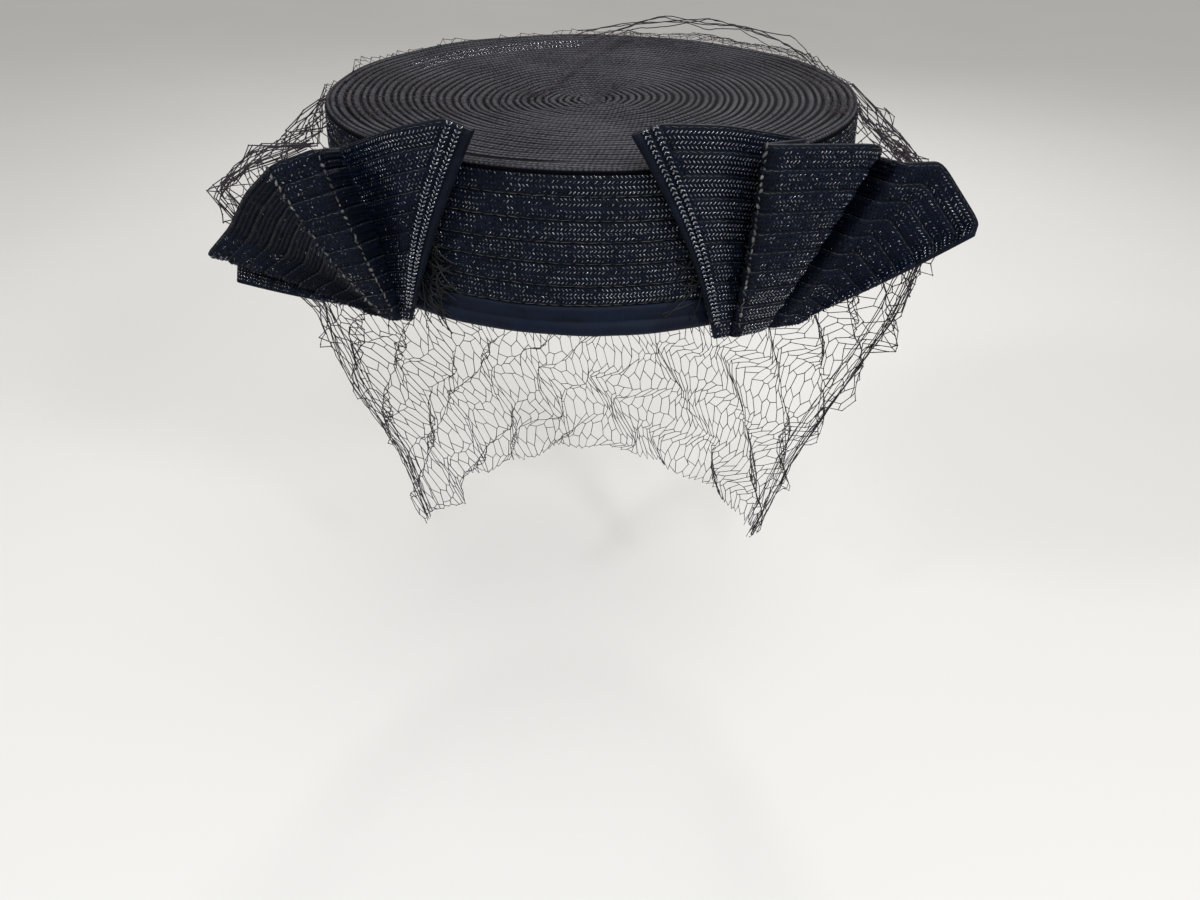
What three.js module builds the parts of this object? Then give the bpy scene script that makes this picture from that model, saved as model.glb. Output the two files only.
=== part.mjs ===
// Pillbox hat of sewn straw braid, with a pleated straw fan on each side of the front and a net
// veil over the tip and down the back. Millimetres, +Z up, the wearer's face toward -Y. The origin
// is the middle of the head opening, in the plane of the rim. Left and right are as seen from the
// front, so left is -X. A turn is an angle about the crown's axis, from the front, in degrees.
import * as THREE from 'three';
import { mergeVertices } from 'three/addons/utils/BufferGeometryUtils.js';

// Driving dimensions
const CROWN_RADIUS = 90;
const CROWN_OVAL = 0.975; // side to side, over front to back
const CROWN_HEIGHT = 48;
const SHOULDER_RADIUS = 2.4;
const STRAW_WALL = 2;
const TIP_SINK = 3.5; // how far the middle of the tip lies below its shoulder
const TIP_DENT = { x: -24, y: 6, depth: 1.6, radius: 30 };
const BAND_BULGE = 1; // how far the band stands out at mid height
const BINDING_HEIGHT = 9.5;
const BINDING_CLOTH = 0.9;
const BINDING_ROLL = 0.9; // how far the rolled lower edge of the binding stands out
const GAP = 0.3;
const ROUND_STEPS = 64;

const FAN_WALL = 1.2;
const FAN_FOOT = { reach: 93.4, rise: -2.5, spread: 0.1 }; // spread: how far the folds stay apart there
const FAN_STEPS = 7; // from the gather to the outer edge
const FOLD_STEPS = 2; // round one fold
const FOLD_SHARE = 0.2; // how much of each panel its rounded fold takes
const HEM_INSET = 0.06; // the share of the first panel left bare beyond the hem's edges

const VEIL_WALL = 1.6;
const VEIL_STEPS = { round: 48, over: 4 };
const VEIL_CLEAR = 1.3; // from the straw to the middle of the veil
const VEIL_FOLDS = 7; // hanging folds round the veil

// Each fan is a strip of straw cloth, gathered at the rim. A row is one fold, from the front hem to
// the far end: its outer end (turn, reach from the crown's axis, rise above the rim), the turn of
// its foot at the gather, and how far the fold bows outward and sways round between them.
const LEFT_FOLDS = [
  { fold: 'front edge', turn: 13.4, reach: 95.8, rise: 57.9, foot: 31, bow: 0.5, sway: 1.2 },
  { fold: 'hem', turn: 17.6, reach: 97.5, rise: 60.5, foot: 31.6, bow: 0.5, sway: 3.2 },
  { fold: 'front panel', turn: 25, reach: 101.5, rise: 57.5, foot: 32.2, bow: -0.5, sway: 0 },
  { fold: 'first valley', turn: 38.5, reach: 101, rise: 48, foot: 32.8, bow: -1.5, sway: 0 },
  { fold: 'ridge', turn: 31.5, reach: 117.5, rise: 54, foot: 33.4, bow: 1, sway: 0 },
  { fold: 'ridge back', turn: 37, reach: 123.5, rise: 49, foot: 34.4, bow: 2.5, sway: 1 },
  { fold: 'side panel', turn: 44.5, reach: 124.5, rise: 38, foot: 35.6, bow: -1.5, sway: 0 },
  { fold: 'side valley', turn: 52.5, reach: 126, rise: 23.5, foot: 36.8, bow: -4, sway: 0 },
  { fold: 'tip', turn: 57.5, reach: 132.5, rise: 12.5, foot: 38, bow: -2, sway: 0 },
  { fold: 'under valley', turn: 63, reach: 122, rise: 9.5, foot: 39.2, bow: 0, sway: 0 },
  { fold: 'far end', turn: 59.5, reach: 125, rise: 0, foot: 40.4, bow: 1.5, sway: 0 },
];
const RIGHT_FOLDS = [
  { fold: 'front edge', turn: 10.2, reach: 94.6, rise: 57.7, foot: 26.8, bow: 1, sway: 2.8 },
  { fold: 'hem', turn: 14.4, reach: 95.6, rise: 60.5, foot: 28, bow: 1, sway: 2.8 },
  { fold: 'front panel', turn: 24, reach: 98.5, rise: 59.9, foot: 28.8, bow: -0.5, sway: 0 },
  { fold: 'first valley', turn: 41, reach: 97.5, rise: 52.5, foot: 29.8, bow: -1, sway: 0 },
  { fold: 'broad pleat', turn: 25.6, reach: 110.5, rise: 58.1, foot: 30.6, bow: 1, sway: 0 },
  { fold: 'broad pleat back', turn: 43, reach: 116.5, rise: 55, foot: 36, bow: 1, sway: 0 },
  { fold: 'second valley', turn: 50.5, reach: 107.5, rise: 47, foot: 37.6, bow: -2, sway: 0 },
  { fold: 'ridge', turn: 46, reach: 120.5, rise: 50, foot: 39, bow: 0.5, sway: 0 },
  { fold: 'ridge back', turn: 50.5, reach: 126, rise: 49.5, foot: 40.6, bow: 0, sway: 0 },
  { fold: 'tip', turn: 54.2, reach: 136, rise: 34, foot: 42, bow: -1, sway: 0 },
  { fold: 'far end', turn: 51.8, reach: 137.5, rise: 32, foot: 42.8, bow: 1, sway: 0 },
];

// The hanging veil. A row is one height, from the hem up: the turns at which the veil opens at the
// front, its reach from the crown's axis at the left free edge, the left side, the back, the right
// side and the right free edge, and how deep its folds are.
const VEIL_ROWS = [
  { rise: -166, openLeft: 104, openRight: 104, reach: [84, 89, 93, 86, 79], wave: 3 },
  { rise: -122, openLeft: 100, openRight: 102, reach: [92, 98, 100, 96, 91], wave: 3 },
  { rise: -78, openLeft: 91, openRight: 97, reach: [101, 105, 104, 106, 107], wave: 2.5 },
  { rise: -34, openLeft: 81, openRight: 86, reach: [104, 107, 104, 111, 115], wave: 2 },
  { rise: 2, openLeft: 73, openRight: 75, reach: [119, 108, 101, 110, 117], wave: 1.5 },
  { rise: 20, openLeft: 70, openRight: 72, reach: [128, 105, 98, 106, 118], wave: 1 },
  { rise: 28, openLeft: 69, openRight: 71, reach: [121, 101, 96, 102, 115], wave: 0.5 },
  { rise: 35, openLeft: 68, openRight: 70, reach: [97, 96, 95, 98, 107], wave: 0 },
  { rise: 44, openLeft: 66, openRight: 68, reach: [93, 93, 93, 93, 95], wave: 0 },
];

// The veil's front edge on the tip, as shares of the way round the veil from its left free edge:
// its place, and how far the net arches clear of the straw behind it.
const VEIL_FRONT = [
  { share: 0, x: -54, y: -56, arch: 0 },
  { share: 0.2, x: -34, y: -46, arch: 0.5 },
  { share: 0.36, x: -13, y: -21, arch: 1 },
  { share: 0.46, x: 2, y: 24, arch: 1 },
  { share: 0.53, x: 15, y: 68, arch: 3 },
  { share: 0.65, x: 42, y: 66, arch: 5 },
  { share: 0.8, x: 71, y: 35, arch: 2 },
  { share: 1, x: 76, y: -34, arch: 0 },
];

const COLOURS = {
  tip: { color: 0x2a2a2f, roughness: 0.8, metalness: 0 },
  braid: { color: 0x14161f, roughness: 0.4, metalness: 0 },
  ribbon: { color: 0x131829, roughness: 0.7, metalness: 0 },
  net: { color: 0x3a343c, roughness: 0.8, metalness: 0 },
};

const TAU = 2 * Math.PI;
const radians = THREE.MathUtils.degToRad;
const lerp = THREE.MathUtils.lerp;
const shoulderInner = CROWN_RADIUS - SHOULDER_RADIUS;
const bandTop = CROWN_HEIGHT - SHOULDER_RADIUS;

function around(turn, reach, rise) {
  const angle = radians(turn);
  return new THREE.Vector3(reach * Math.sin(angle), -reach * Math.cos(angle), rise);
}

// The tip's upper surface: a shallow bowl with one soft dent.
function tipHeight(x, y) {
  const share = Math.min(Math.hypot(x / CROWN_OVAL, y) / shoulderInner, 1);
  const dentDistance = Math.hypot(x - TIP_DENT.x, y - TIP_DENT.y) / TIP_DENT.radius;
  const dent = TIP_DENT.depth * Math.exp(-dentDistance * dentDistance) * (1 - share ** 4);
  return CROWN_HEIGHT - TIP_SINK * (1 - share ** 2) - dent;
}

// Points of a quarter circle in the (radius, height) plane, from its top to its outer side.
function quarterArc(centreRadius, centreHeight, arcRadius, steps) {
  const points = [];
  for (let i = 0; i <= steps; i += 1) {
    const angle = (i / steps) * (Math.PI / 2);
    const radius = centreRadius + arcRadius * Math.sin(angle);
    points.push(new THREE.Vector2(radius, centreHeight + arcRadius * Math.cos(angle)));
  }
  return points;
}

// A lathe turns about Y: this stands it up along Z, makes it oval and joins its seam.
function turnedBody(profile) {
  const geometry = new THREE.LatheGeometry(profile, ROUND_STEPS);
  geometry.rotateX(Math.PI / 2);
  geometry.scale(CROWN_OVAL, 1, 1);
  return joined(geometry);
}

function joined(geometry) {
  geometry.deleteAttribute('normal');
  geometry.deleteAttribute('uv');
  return mergeVertices(geometry, 1e-4);
}

function part(name, geometry, finish) {
  geometry.computeVertexNormals();
  const mesh = new THREE.Mesh(geometry, new THREE.MeshStandardMaterial(finish));
  mesh.name = name;
  return mesh;
}

// A thin closed wall, half its thickness to each side of a grid of points: grid[row][column].
function thickSheet(grid, wall) {
  const rows = grid.length;
  const columns = grid[0].length;
  const positions = [];
  const indices = [];
  for (const side of [1, -1]) {
    for (let i = 0; i < rows; i += 1) {
      for (let j = 0; j < columns; j += 1) {
        const across = grid[i][Math.min(j + 1, columns - 1)].clone().sub(grid[i][Math.max(j - 1, 0)]);
        const along = grid[Math.min(i + 1, rows - 1)][j].clone().sub(grid[Math.max(i - 1, 0)][j]);
        const normal = across.cross(along).normalize();
        const point = grid[i][j].clone().addScaledVector(normal, (side * wall) / 2);
        positions.push(point.x, point.y, point.z);
      }
    }
  }
  const back = rows * columns;
  const quad = (a, b, c, d) => indices.push(a, b, c, a, c, d);
  for (let i = 0; i < rows - 1; i += 1) {
    for (let j = 0; j < columns - 1; j += 1) {
      const a = i * columns + j;
      quad(a, a + 1, a + columns + 1, a + columns);
      quad(back + a, back + a + columns, back + a + columns + 1, back + a + 1);
    }
  }
  for (let j = 0; j < columns - 1; j += 1) {
    const last = (rows - 1) * columns + j;
    quad(j, back + j, back + j + 1, j + 1);
    quad(last, last + 1, back + last + 1, back + last);
  }
  for (let i = 0; i < rows - 1; i += 1) {
    const first = i * columns;
    const last = first + columns - 1;
    quad(first, first + columns, back + first + columns, back + first);
    quad(last, back + last, back + last + columns, last + columns);
  }
  const geometry = new THREE.BufferGeometry();
  geometry.setAttribute('position', new THREE.Float32BufferAttribute(positions, 3));
  geometry.setIndex(indices);
  return geometry;
}

// Crown: the tip turns down over the shoulder, where the side band starts.
function crownTip() {
  const bowlSteps = 4;
  const arcSteps = 2;
  const bowl = (lift) => {
    const points = [];
    for (let i = 0; i < bowlSteps; i += 1) {
      points.push(new THREE.Vector2((i / bowlSteps) * shoulderInner, CROWN_HEIGHT + lift));
    }
    return points;
  };
  const outer = [...bowl(0), ...quarterArc(shoulderInner, bandTop, SHOULDER_RADIUS, arcSteps)];
  const innerArc = quarterArc(shoulderInner, bandTop, SHOULDER_RADIUS - STRAW_WALL, arcSteps);
  const inner = [...bowl(-STRAW_WALL), ...innerArc];
  const geometry = turnedBody([...inner, ...outer.reverse()]);
  const position = geometry.getAttribute('position');
  for (let i = 0; i < position.count; i += 1) {
    const x = position.getX(i);
    const y = position.getY(i);
    if (Math.hypot(x / CROWN_OVAL, y) < shoulderInner) {
      position.setZ(i, position.getZ(i) + tipHeight(x, y) - CROWN_HEIGHT);
    }
  }
  return part('crown_tip', geometry, COLOURS.tip);
}

function bandRadius(height) {
  return CROWN_RADIUS + BAND_BULGE * Math.sin((Math.PI * height) / bandTop);
}

function sideBand() {
  const steps = 4;
  const bottom = 2 * BINDING_CLOTH;
  const outer = [];
  const inner = [];
  for (let i = 0; i <= steps; i += 1) {
    const height = lerp(bottom, bandTop - GAP, i / steps);
    outer.push(new THREE.Vector2(bandRadius(height), height));
    inner.push(new THREE.Vector2(bandRadius(height) - STRAW_WALL, height));
  }
  const profile = [...outer, ...inner.reverse()];
  profile.push(profile[0].clone());
  return part('side_band', turnedBody(profile), COLOURS.braid);
}

// The binding is a folded ribbon: an outer leg with a rolled lower edge, and a plain inner leg,
// with the band's lower edge in the channel between them.
function rimBinding() {
  const rollSteps = 3;
  const channelFloor = 2 * BINDING_CLOTH - GAP;
  const outside = CROWN_RADIUS + GAP + BAND_BULGE / 2;
  const inside = CROWN_RADIUS - STRAW_WALL - GAP;
  const profile = [
    new THREE.Vector2(inside, 0),
    new THREE.Vector2(outside, 0),
  ];
  for (let i = 0; i <= rollSteps; i += 1) {
    const share = i / rollSteps;
    const roll = BINDING_ROLL * Math.sin(Math.PI * lerp(0.2, 1, share));
    const height = lerp(BINDING_CLOTH, BINDING_HEIGHT, share);
    profile.push(new THREE.Vector2(outside + BINDING_CLOTH + roll, height));
  }
  profile.push(
    new THREE.Vector2(outside, BINDING_HEIGHT),
    new THREE.Vector2(outside, channelFloor),
    new THREE.Vector2(inside, channelFloor),
    new THREE.Vector2(inside, BINDING_HEIGHT),
    new THREE.Vector2(inside - BINDING_CLOTH, BINDING_HEIGHT),
    new THREE.Vector2(inside - BINDING_CLOTH, BINDING_CLOTH),
    new THREE.Vector2(inside, 0),
  );
  return part('rim_binding', turnedBody(profile), COLOURS.ribbon);
}

// Where each fold lies at a share of the way from the gather to the outer edge.
function foldPoints(side, folds, share) {
  const bulge = Math.sin(Math.PI * share);
  return folds.map((row) => {
    const footReach = FAN_FOOT.reach + FAN_FOOT.spread * (row.reach - folds[0].reach);
    const foot = around(side * row.foot, footReach, FAN_FOOT.rise);
    const end = around(side * row.turn, row.reach, row.rise);
    const outward = around(side * row.turn, 1, 0);
    const sideways = around(side * (row.turn + 90), 1, 0);
    const point = foot.lerp(end, share).addScaledVector(outward, row.bow * bulge);
    return point.addScaledVector(sideways, row.sway * bulge);
  });
}

// The cloth across all the folds: flat panels joined by rounded folds.
function clothAcross(side, folds, share) {
  const corners = foldPoints(side, folds, share);
  const points = [corners[0]];
  for (let i = 1; i < corners.length - 1; i += 1) {
    const start = corners[i].clone().lerp(corners[i - 1], FOLD_SHARE);
    const end = corners[i].clone().lerp(corners[i + 1], FOLD_SHARE);
    const bend = new THREE.QuadraticBezierCurve3(start, corners[i], end);
    points.push(...bend.getPoints(FOLD_STEPS));
  }
  points.push(corners[corners.length - 1]);
  return points;
}

function fan(name, side, folds) {
  const grid = [];
  for (let i = 0; i <= FAN_STEPS; i += 1) {
    grid.push(clothAcross(side, folds, i / FAN_STEPS));
  }
  const geometry = thickSheet(side < 0 ? grid.reverse() : grid, FAN_WALL);
  return part(name, geometry, COLOURS.braid);
}

// The hem is a second layer on the front of the fan, from its front edge to its second fold.
function fanHem(name, side, folds) {
  const acrossSteps = 2;
  const footShare = 0.1;
  const lift = FAN_WALL + GAP;
  const grid = [];
  for (let i = 0; i <= FAN_STEPS; i += 1) {
    const share = lerp(footShare, 1, i / FAN_STEPS);
    const [edge, hem] = foldPoints(side, folds, share);
    const [below] = foldPoints(side, folds, share - footShare);
    const across = hem.clone().sub(edge);
    const out = across.clone().cross(edge.clone().sub(below)).normalize().multiplyScalar(side * lift);
    const row = [];
    for (let j = 0; j <= acrossSteps; j += 1) {
      const place = lerp(HEM_INSET, 1 - FOLD_SHARE, j / acrossSteps);
      row.push(edge.clone().addScaledVector(across, place).add(out));
    }
    grid.push(row);
  }
  const geometry = thickSheet(side < 0 ? grid.reverse() : grid, FAN_WALL);
  return part(name, geometry, COLOURS.braid);
}

// A smooth value through evenly spaced ones, at a place from 0 to 1.
function smoothAlong(values, place) {
  const points = values.map((value) => new THREE.Vector2(value, 0));
  return new THREE.SplineCurve(points).getPoint(place).x;
}

function hangingPoint(row, share) {
  const turn = lerp(-row.openLeft, row.openRight - 360, share);
  const edgeFade = Math.sin(Math.PI * share);
  const wave = row.wave * edgeFade * Math.sin(VEIL_FOLDS * TAU * share);
  const point = around(turn, smoothAlong(row.reach, share) + wave, row.rise);
  point.x *= lerp(CROWN_OVAL, 1, Math.min(Math.abs(row.rise - CROWN_HEIGHT) / CROWN_HEIGHT, 1));
  return point;
}

function frontEdge(share) {
  const next = Math.max(1, VEIL_FRONT.findIndex((stop) => stop.share >= share));
  const a = VEIL_FRONT[next - 1];
  const b = VEIL_FRONT[next];
  const mix = THREE.MathUtils.smoothstep(share, a.share, b.share);
  return { x: lerp(a.x, b.x, mix), y: lerp(a.y, b.y, mix), arch: lerp(a.arch, b.arch, mix) };
}

// From the hem up the hanging rows to the shoulder, and then in over the tip to the front edge.
function veil() {
  const stops = [];
  for (let j = 0; j <= VEIL_STEPS.round; j += 1) {
    stops.push(j / VEIL_STEPS.round);
  }
  const grid = VEIL_ROWS.map((row) => stops.map((share) => hangingPoint(row, share)));
  const top = VEIL_ROWS[VEIL_ROWS.length - 1];
  for (let i = 0; i <= VEIL_STEPS.over; i += 1) {
    const reach = i / VEIL_STEPS.over;
    grid.push(stops.map((share) => {
      const turn = lerp(-top.openLeft, top.openRight - 360, share);
      const edge = around(turn, shoulderInner + SHOULDER_RADIUS / 2, 0);
      const front = frontEdge(share);
      const x = lerp(edge.x * CROWN_OVAL, front.x, reach);
      const y = lerp(edge.y, front.y, reach);
      const arch = front.arch * Math.sin(Math.PI * lerp(0.2, 0.8, reach));
      return new THREE.Vector3(x, y, tipHeight(x, y) + VEIL_CLEAR + arch);
    }));
  }
  return part('veil', thickSheet(grid.reverse(), VEIL_WALL), COLOURS.net);
}

const hat = new THREE.Group();
hat.add(crownTip(), sideBand(), rimBinding());
hat.add(fan('left_fan', -1, LEFT_FOLDS), fanHem('left_fan_hem', -1, LEFT_FOLDS));
hat.add(fan('right_fan', 1, RIGHT_FOLDS), fanHem('right_fan_hem', 1, RIGHT_FOLDS));
hat.add(veil());

export default hat;
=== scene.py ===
# %% [markdown]
# # A straw pillbox hat with two pleated fans and a net veil
# The crown is plaited straw braid sewn row under row. A strip of the same braid cloth is gathered
# at the rim on each side of the front and opens upward into a fan. A knotted net lies over the
# back of the tip, puffs out behind the fans and hangs below the rim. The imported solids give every
# size, and this lesson builds the straw, ribbon and thread around them, in millimetres.

# %% The frame
import math
import bpy
import numpy as np
from mathutils import Matrix, Vector


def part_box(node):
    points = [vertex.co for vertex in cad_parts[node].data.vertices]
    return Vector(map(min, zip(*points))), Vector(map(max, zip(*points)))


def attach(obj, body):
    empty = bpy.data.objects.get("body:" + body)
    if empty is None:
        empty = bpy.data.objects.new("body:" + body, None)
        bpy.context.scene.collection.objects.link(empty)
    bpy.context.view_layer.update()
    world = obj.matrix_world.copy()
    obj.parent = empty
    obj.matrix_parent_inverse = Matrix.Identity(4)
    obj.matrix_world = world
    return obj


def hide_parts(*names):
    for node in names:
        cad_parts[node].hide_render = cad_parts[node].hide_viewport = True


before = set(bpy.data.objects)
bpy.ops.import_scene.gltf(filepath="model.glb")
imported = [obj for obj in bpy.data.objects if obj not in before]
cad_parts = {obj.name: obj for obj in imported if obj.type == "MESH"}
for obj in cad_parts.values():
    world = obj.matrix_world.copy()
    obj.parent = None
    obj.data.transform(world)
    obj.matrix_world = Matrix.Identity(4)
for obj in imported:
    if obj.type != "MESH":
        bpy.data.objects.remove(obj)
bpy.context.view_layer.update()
MM = 0.001


def box_mm(node):
    """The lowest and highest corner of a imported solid, in millimetres."""
    low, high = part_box(node)
    return np.array(low) / MM, np.array(high) / MM


def new_mesh(name, points, edges=(), faces=(), smooth=True):
    """A mesh from points in millimetres."""
    mesh = bpy.data.meshes.new(name)
    mesh.from_pydata((np.asarray(points) * MM).tolist(), edges, faces)
    mesh.polygons.foreach_set("use_smooth", [smooth] * len(faces))
    return mesh


def new_object(name, data):
    """An object in the scene that carries the data."""
    made = bpy.data.objects.new(name, data)
    bpy.context.scene.collection.objects.link(made)
    return made


CROWN_RADIUS, CROWN_HEIGHT = box_mm("crown_tip")[1][1:3]
CROWN_OVAL = box_mm("crown_tip")[1][0] / CROWN_RADIUS
BAND_BULGE = box_mm("side_band")[1][1] - CROWN_RADIUS
BINDING_HEIGHT = box_mm("rim_binding")[1][2]
print(f"crown {2 * CROWN_RADIUS:.0f} mm long, {CROWN_HEIGHT:.0f} mm high, oval {CROWN_OVAL:.3f}")

# %% [markdown]
# ## Where we look from
# The camera comes first, so that each piece can be judged as soon as it is made. It stands a little
# above the tip, slightly to the wearer's left, and looks down at the front of the crown.

# %% Camera
CAMERA = {"away": 321.5, "rise": 121, "aside": 3.8, "turn": 3.7, "pitch": 34.8, "roll": -0.6}
LENS_MM = 27.09
CLIP_START = 10


def add_camera():
    turn, pitch, roll = (math.radians(CAMERA[k]) for k in ("turn", "pitch", "roll"))
    turned = Matrix.Rotation(turn, 4, "Z")
    tilted = Matrix.Rotation(math.pi / 2 - pitch, 4, "X") @ Matrix.Rotation(-roll, 4, "Z")
    place = turned @ Vector((CAMERA["aside"], -CAMERA["away"], CAMERA["rise"]))
    data = bpy.data.cameras.new("camera")
    data.lens = LENS_MM
    data.clip_start = CLIP_START * MM
    camera = new_object("camera", data)
    camera.matrix_world = Matrix.Translation(place * MM) @ turned @ tilted
    bpy.context.scene.camera = camera
    return camera


camera = add_camera()
print("camera at", [round(v, 3) for v in camera.matrix_world.translation])

# %% [markdown]
# ## Two small tools
# A node tree is easier to read as arithmetic. `Wire` wraps a socket, so `1 - mask * 0.5` adds the
# Math nodes itself. `Bench` adds any other node in one call: its type, its settings, and what goes
# into its sockets. The same two serve for materials and for Geometry Nodes.

# %% Wires and benches
class Wire:
    def __init__(self, bench, socket):
        self.bench, self.socket = bench, socket

    def maths(self, operation, first, second=0.0):
        return self.bench.node("ShaderNodeMath", {"operation": operation}, {0: first, 1: second})

    def __add__(self, other): return self.maths("ADD", self, other)
    def __radd__(self, other): return self.maths("ADD", other, self)
    def __sub__(self, other): return self.maths("SUBTRACT", self, other)
    def __rsub__(self, other): return self.maths("SUBTRACT", other, self)
    def __mul__(self, other): return self.maths("MULTIPLY", self, other)
    def __truediv__(self, other): return self.maths("DIVIDE", self, other)
    def __pow__(self, other): return self.maths("POWER", self, other)


class Bench:
    def __init__(self, tree):
        self.tree = tree

    def node(self, kind, settings=None, inputs=None, output=0):
        made = self.tree.nodes.new(kind)
        for name, value in (settings or {}).items():
            setattr(made, name, value)
        for key, value in (inputs or {}).items():
            socket = find_socket(made.inputs, key)
            if isinstance(value, Wire):
                self.tree.links.new(value.socket, socket)
            else:
                socket.default_value = value
        return Wire(self, find_socket(made.outputs, output)) if len(made.outputs) else made


def find_socket(sockets, key):
    if isinstance(key, int):
        return sockets[key]
    named = [s for s in sockets if s.name == key]
    return next((s for s in named if s.enabled), named[0])


# %% [markdown]
# ## Straw, ribbon and thread
# Plaited straw is dyed and lacquered, so each flat strand has its own small highlight, and worn
# stretches are duller. The tip has lost its lacquer and gone charcoal, and its colour is also
# painted lighter than the straw's own, as painted light on a top that faces the light. Every finish
# reads Object coordinates, in metres, so the grain keeps one scale over all the pieces.

# %% Material tools
def new_material(name, roughness, specular=0.5, ior=1.5):
    """A material, its bench, its shader and the Object coordinates that its grain reads."""
    made = bpy.data.materials.new(name)
    made.use_nodes = True
    bench = Bench(made.node_tree)
    shader = made.node_tree.nodes["Principled BSDF"]
    shader.inputs["Roughness"].default_value = roughness
    shader.inputs["Specular IOR Level"].default_value = specular
    shader.inputs["IOR"].default_value = ior
    return made, bench, shader, bench.node("ShaderNodeTexCoord", output="Object")


def feed(bench, shader, socket, wire):
    bench.tree.links.new(wire.socket, shader.inputs[socket])


def noise(bench, place, size_mm, detail=2.0):
    inputs = {"Vector": place, "Scale": 1 / (size_mm * MM), "Detail": detail}
    return bench.node("ShaderNodeTexNoise", inputs=inputs, output="Fac")


def point_value(bench, name):
    """A value that the mesh carries at each point."""
    return bench.node("ShaderNodeAttribute", {"attribute_name": name}, output="Fac")


def level_axes(bench, place):
    """The X and the Y of a place."""
    return [bench.node("ShaderNodeSeparateXYZ", inputs={"Vector": place}, output=axis) for axis in "XY"]


def clamped(bench, value, low, high):
    """0 below low, 1 above high."""
    inputs = {"Value": value, "From Min": low, "From Max": high}
    return bench.node("ShaderNodeMapRange", {"clamp": True}, inputs)


def blend(bench, share, first, second):
    """One colour turning into another. Each is a wire or three numbers."""
    made = bench.node("ShaderNodeMix", {"data_type": "RGBA"}, {"Factor": share}, output="Result")
    for name, colour in (("A", first), ("B", second)):
        socket = find_socket([s for s in made.socket.node.inputs if s.type == "RGBA"], name)
        if isinstance(colour, Wire):
            bench.tree.links.new(colour.socket, socket)
        else:
            socket.default_value = (*colour, 1)
    return Wire(bench, [s for s in made.socket.node.outputs if s.type == "RGBA"][0])


def bump(bench, shader, height, strength, depth_mm):
    inputs = {"Height": height, "Strength": strength, "Distance": depth_mm * MM}
    feed(bench, shader, "Normal", bench.node("ShaderNodeBump", inputs=inputs))


# %% [markdown]
# ## Lacquered straw
# Two shaders share one material: lacquer, and the dull straw under it. The strands carry a gloss
# value, and where it is low most of them have lost their lacquer. Where it is lowest, the dull
# straw's colour is also darkened towards near-black: painted shade in the pleats and valleys. The
# index of refraction is above the 1.5 of real lacquer, so that the small windows below give strands
# of half a millimetre their glint.

# %% Lacquered straw
LACQUER = {"specular": 1.0, "ior": 1.9}
BARE = {"Roughness": 0.5, "Specular IOR Level": 0.07}
# A near-black navy that the dull straw turns to where its gloss value is low, as painted shade, and the
# range of values over which it does so.
BARE_PAINTED_SHADE = (0.0004, 0.0012, 0.0045)
PAINTED_SHADE_GLOSS = (0.31, 0.45)
WEAR = {"strand": 0.6, "patch": 0.4, "edge": 0.06}


def straw_finish(name, dark, light, shine=0.12):
    made, bench, lacquer, place = new_material(name, shine, **LACQUER)
    strand = noise(bench, place, 1.0, detail=1)
    patch = noise(bench, place, 8, detail=3)
    colour = blend(bench, clamped(bench, strand, 0.35, 0.7), dark, light)
    feed(bench, lacquer, "Base Color", colour)
    feed(bench, lacquer, "Roughness", shine + patch * 0.16)
    bump(bench, lacquer, noise(bench, place, 0.25, detail=1), 0.3, 0.04)
    gloss_and_painted_shade = point_value(bench, "gloss_and_painted_shade")
    bare = bench.node("ShaderNodeBsdfPrincipled", inputs=BARE)
    # Where the gloss value is low, the dull straw's colour turns near-black: painted shade in pleats and
    # valleys.
    bare_colour_with_painted_shade = blend(bench, clamped(bench, gloss_and_painted_shade, *PAINTED_SHADE_GLOSS), BARE_PAINTED_SHADE, colour)
    bench.tree.links.new(bare_colour_with_painted_shade.socket, find_socket(bare.socket.node.inputs, "Base Color"))
    left_over = 1 - gloss_and_painted_shade - strand * WEAR["strand"] - patch * WEAR["patch"]
    worn = clamped(bench, left_over, -WEAR["edge"], WEAR["edge"])
    mixed = bench.node("ShaderNodeMixShader",
                       inputs={0: worn, 1: Wire(bench, lacquer.outputs[0]), 2: bare})
    bench.tree.links.new(mixed.socket, made.node_tree.nodes["Material Output"].inputs["Surface"])
    return made


braid_straw = straw_finish("lacquered straw", (0.001, 0.0025, 0.007), (0.009, 0.013, 0.025))
fan_straw = straw_finish("navy straw", (0.0008, 0.0032, 0.011), (0.006, 0.013, 0.034))
print("straw finishes:", braid_straw.name, "and", fan_straw.name)


# %% The straw between the strands: dull, a little dusty, and painted nearly black as the shade between them
def ground_finish():
    made, bench, shader, place = new_material("straw ground", 0.75, specular=0.1)
    dust = clamped(bench, noise(bench, place, 3, detail=4), 0.45, 0.75)
    # Nearly black, darker than the strands' straw: painted shade between the strands, with dusty patches a
    # little lighter.
    feed(bench, shader, "Base Color", blend(bench, dust, (0.0006, 0.0018, 0.006), (0.003, 0.006, 0.014)))
    feed(bench, shader, "Roughness", 0.6 + dust * 0.25)
    bump(bench, shader, noise(bench, place, 0.6), 0.5, 0.1)
    return made


straw_ground = ground_finish()

# %% The tip's straw, faded and painted lighter as light on the top, with its plaits as a fine bump around the middle
TIP_RIDGE = 2.55
TIP_PLAIT = 1.5
# The tip's dark and light colours: faded straw, painted lighter for the light and sheen on the top, which
# is painted light.
FADED_WITH_PAINTED_LIGHT = ((0.016, 0.016, 0.020), (0.096, 0.094, 0.104))
# The near-black painted into the tip's grooves, its gap and its underside: painted shade.
GROOVE_PAINTED_SHADE = (0.001, 0.001, 0.002)


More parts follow.
